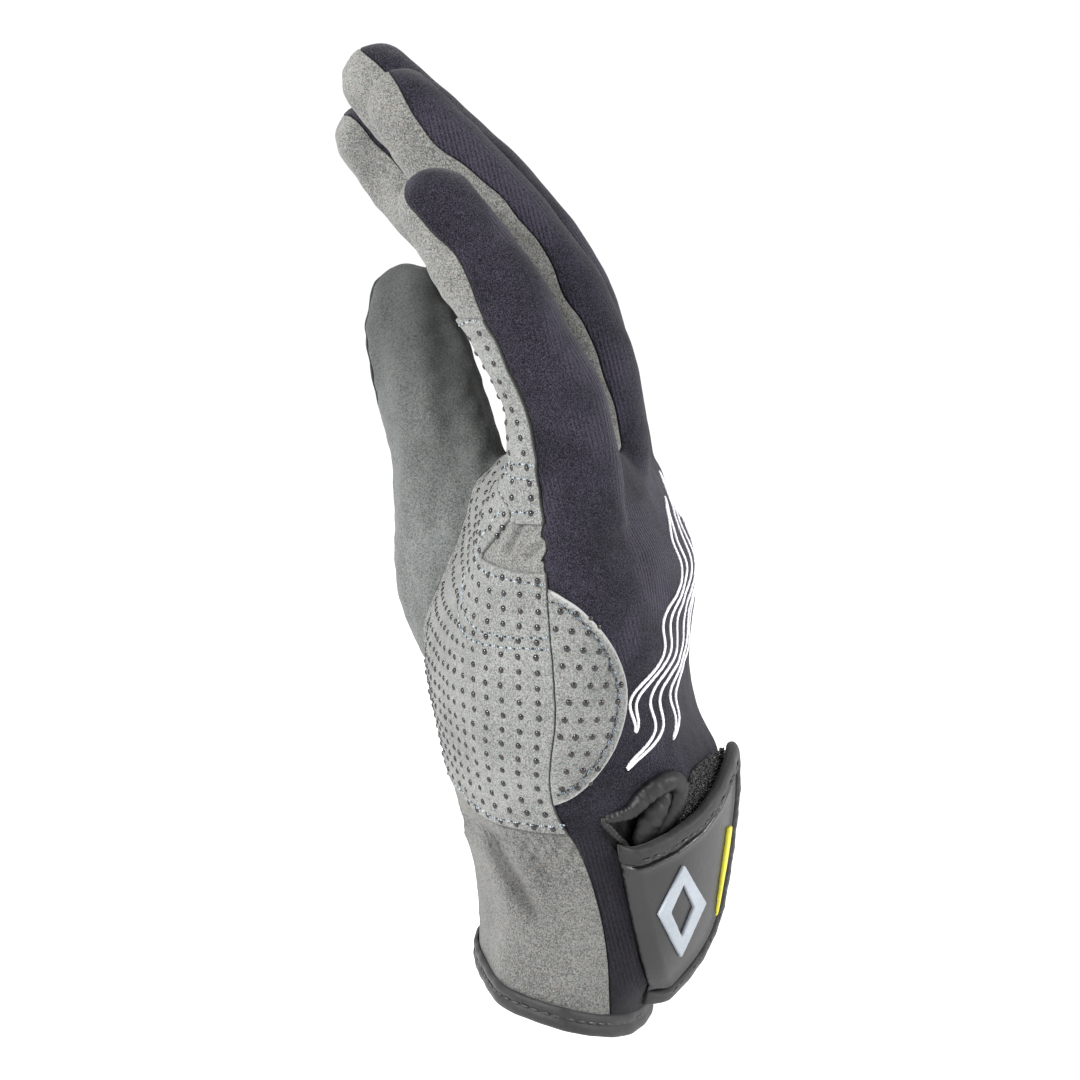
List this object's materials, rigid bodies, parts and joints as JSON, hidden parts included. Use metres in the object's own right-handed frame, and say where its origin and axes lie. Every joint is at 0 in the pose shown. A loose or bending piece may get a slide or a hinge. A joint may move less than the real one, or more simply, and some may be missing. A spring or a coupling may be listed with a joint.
{
  "type": "diving glove",
  "caption": "Left-hand neoprene and suede diving glove with dotted grip patches, a gusseted wrist slit and a rubber closing strap, standing open as if worn.",
  "frame": {"origin": "middle of the wrist opening, at the height of the hem there", "axes": "+Z from the wrist to the fingertips, +X out of the back of the hand, -Y to the little finger, +Y to the thumb side"},
  "size_m": [0.0966, 0.0967, 0.2291],
  "materials": {
    "neoprene": "matt fine knit face on 2 mm neoprene foam",
    "suede": "matt brushed synthetic suede",
    "suede_thumb": "matt brushed synthetic suede, darker in the shade",
    "suede_dotted": "matt synthetic suede with printed rubber dots",
    "tape": "matt folded binding tape",
    "gusset_cloth": "thin matt coated stretch cloth",
    "pile": "black loop pile",
    "strap_rubber": "satin moulded rubber",
    "pale_rubber": "matt pale grey moulded rubber",
    "yellow_rubber": "matt yellow moulded rubber"
  },
  "bodies": {
    "root": {"back_panel": "neoprene", "palm_panel": "suede", "little_back": "neoprene", "ring_back": "neoprene", "middle_back": "neoprene", "index_back": "neoprene", "little_palm": "suede", "ring_palm": "suede", "middle_palm": "suede", "index_palm": "suede", "thumb_pad": "suede_thumb", "thumb_back": "neoprene", "palm_patch": "suede_dotted", "finger_patch": "suede_dotted", "edge_patch": "suede_dotted", "hem_tape": "tape", "gusset": "gusset_cloth", "loop_patch": "pile", "strap": "strap_rubber", "strap_tape": "tape", "lozenge": "pale_rubber", "yellow_bar": "yellow_rubber"}
  },
  "joints": []
}
